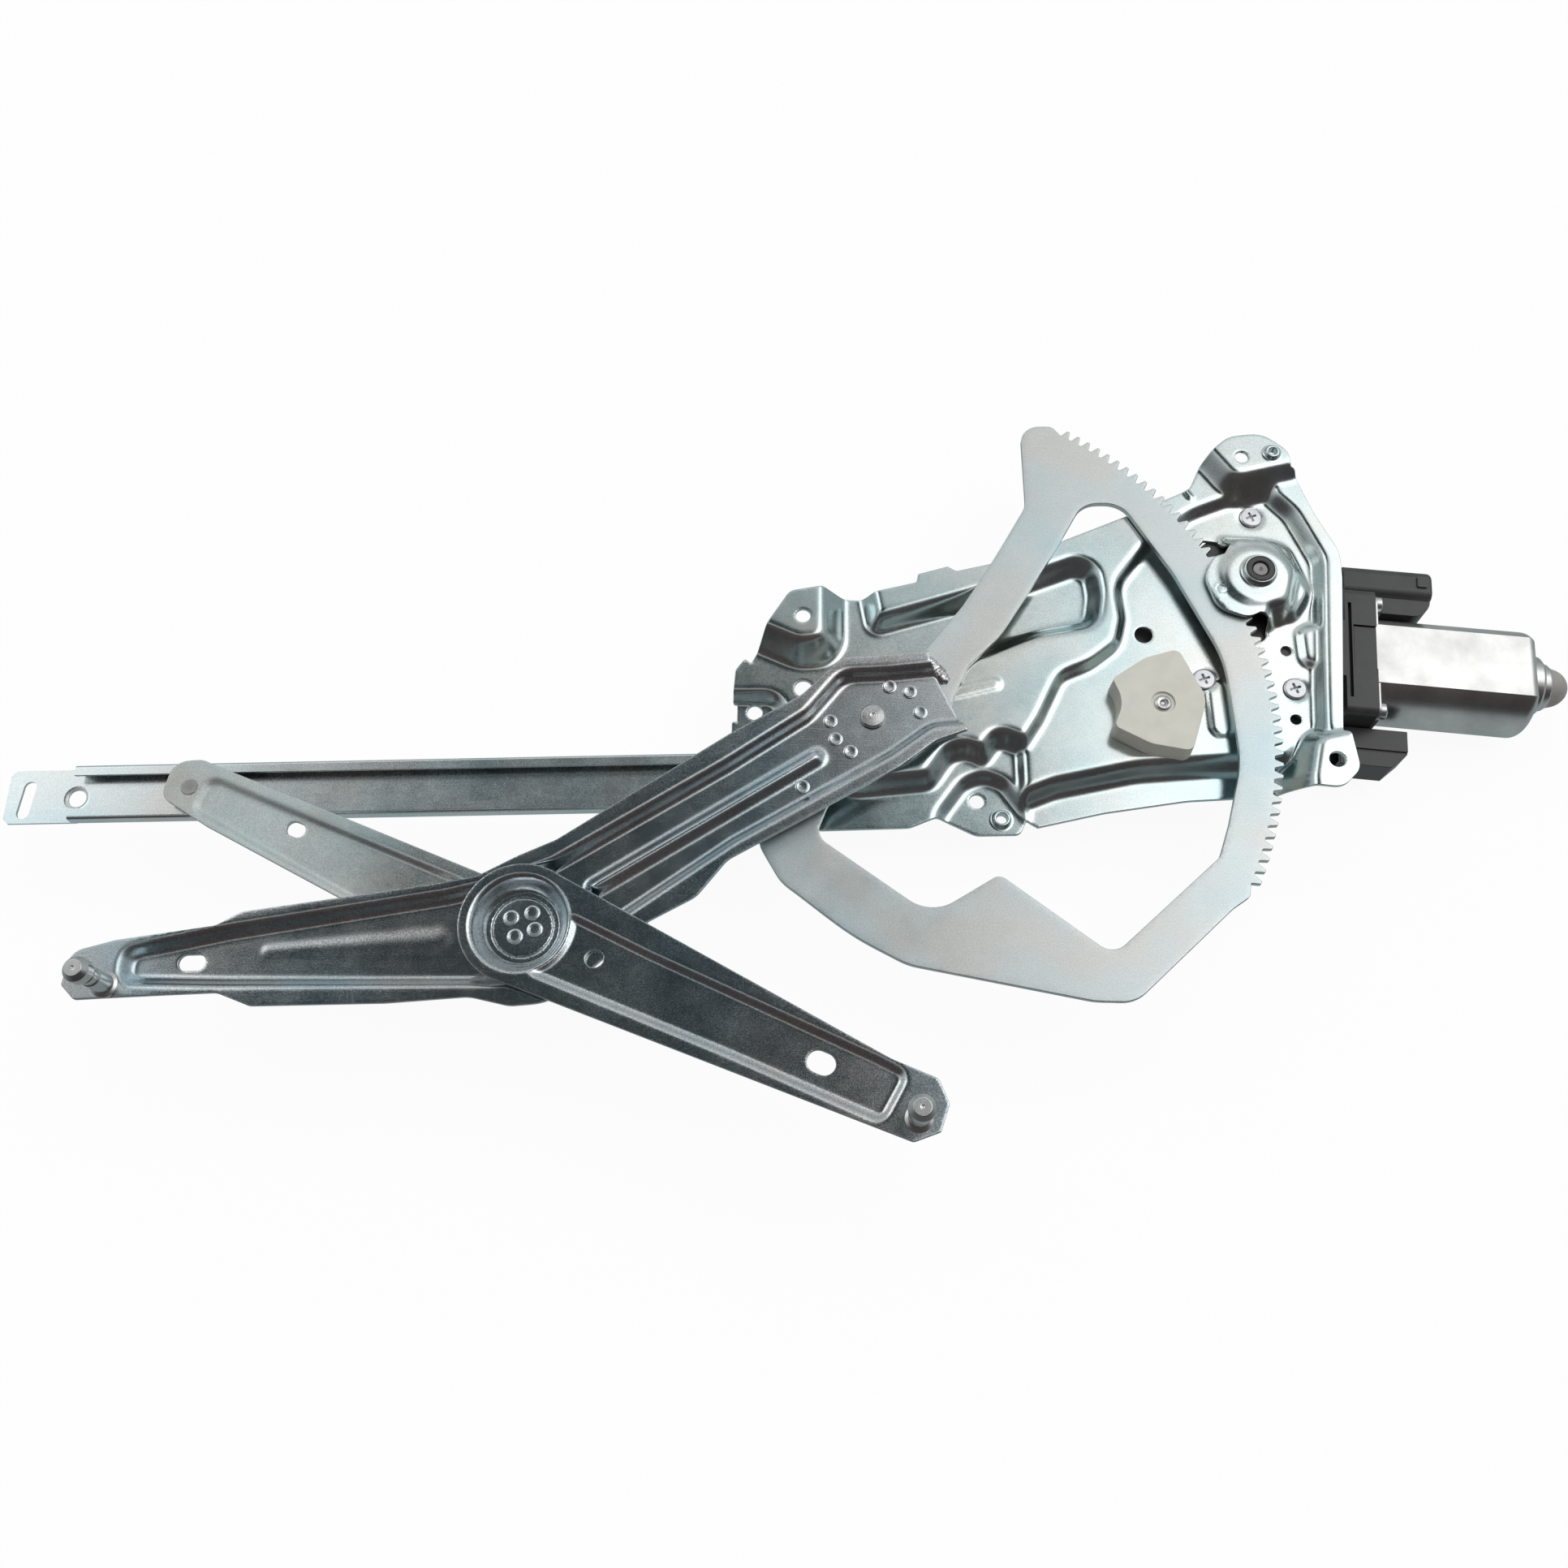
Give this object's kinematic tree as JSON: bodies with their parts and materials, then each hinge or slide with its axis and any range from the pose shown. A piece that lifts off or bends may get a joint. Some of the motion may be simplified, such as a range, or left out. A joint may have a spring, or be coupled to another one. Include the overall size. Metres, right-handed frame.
{
  "type": "window regulator",
  "caption": "Scissor-arm window regulator for a car door: geared motor, toothed sector on the lift arm, idler arm with a roller in a guide rail, pressed base plate.",
  "frame": {"origin": "centre of the left lug's bolt hole, on the outer face of the base plate's lug", "axes": "+X to the motor end along the longest extent, +Z out of the base plate towards the arms' glass studs, +Y up the door towards the top lug"},
  "size_m": [0.7519, 0.3594, 0.0976],
  "materials": {
    "zinc_plate": "zinc plated pressing, satin with fine grain",
    "zinc_arm": "zinc plated pressing, satin with fine grain and scratches",
    "zinc_sector": "zinc plated blank, satin with fine scratches",
    "steel_bright": "bright turned steel",
    "screw_zinc": "blue zinc plated",
    "can_steel": "satin nickel plated drawn steel",
    "dark_steel": "dark oiled steel",
    "gear_steel": "hardened steel with a film of grease",
    "black_plastic": "fine moulded grain",
    "cap_plastic": "moulded plastic, slightly dusty",
    "block_plastic": "warm grey moulded plastic",
    "wheel_plastic": "natural moulded plastic",
    "damper_rubber": "moulded rubber",
    "magnet": "sintered, dull",
    "contact_brass": "bright contact brass",
    "core_steel": "laminated steel with lacquered windings"
  },
  "bodies": {
    "base": {"base_plate": "zinc_plate", "guide_rail": "zinc_arm", "rail_rivets": "steel_bright", "pivot_stud": "steel_bright", "stop_block": "block_plastic", "stop_block_rivet": "steel_bright", "gearbox_housing": "black_plastic", "gearbox_cover": "black_plastic", "mounting_screws": "screw_zinc", "motor_can": "can_steel", "end_bearing": "dark_steel", "end_cap": "cap_plastic", "flange_screws": "screw_zinc", "upper_connector": "black_plastic", "lower_connector": "black_plastic", "connector_pins": "contact_brass", "magnets": "magnet", "brush_holder": "black_plastic", "output_bushing": "black_plastic"},
    "lift": {"lift_arm": "zinc_arm", "sector_gear": "zinc_sector", "clinch_rivets": "steel_bright", "weld_bead": "steel_bright", "lift_pin_left": "steel_bright", "pivot_bush": "steel_bright"},
    "idler": {"idler_arm_front": "zinc_arm", "idler_arm_rear": "zinc_arm", "idler_hub": "steel_bright", "hub_rivets": "steel_bright", "lift_pin_right": "steel_bright", "rail_pin": "steel_bright"},
    "roller": {"rail_roller": "black_plastic"},
    "pinion": {"pinion_gear": "gear_steel", "output_shaft": "dark_steel", "worm_wheel": "wheel_plastic", "damper": "damper_rubber"},
    "armature": {"armature_shaft": "steel_bright", "worm": "gear_steel", "armature_core": "core_steel", "commutator": "contact_brass"}
  },
  "joints": [
    {"name": "motor_turn", "type": "hinge", "parent": "base", "child": "armature", "pos_m": [0.21616, -0.00759, -0.035], "axis": [0.9945, -0.1045, 0], "range_deg": [-30850, 23990]},
    {"name": "pinion_turn", "type": "hinge", "parent": "base", "child": "pinion", "pos_m": [0.21912, 0.02056, -0.001], "axis": [0, 0, 1], "range_deg": [-514.5, 400.5]},
    {"name": "lift_swing", "type": "hinge", "parent": "base", "child": "lift", "pos_m": [0.0331, -0.0546, -0.001], "axis": [0, 0, 1], "range_deg": [-28, 36]},
    {"name": "scissor_swing", "type": "hinge", "parent": "lift", "child": "idler", "pos_m": [-0.1227, -0.1577, -0.001], "axis": [0, 0, 1], "range_deg": [-70.5, 54.9]},
    {"name": "roller_spin", "type": "hinge", "parent": "idler", "child": "roller", "pos_m": [-0.2862, -0.0888, -0.0095], "axis": [0, 0, 1], "continuous": true}
  ],
  "couplings": [
    {"joint": "pinion_turn", "follows": "motor_turn", "ratio": 0.016667},
    {"joint": "lift_swing", "follows": "motor_turn", "ratio": -0.0011667},
    {"joint": "scissor_swing", "follows": "motor_turn", "ratio": 0.0022808}
  ]
}
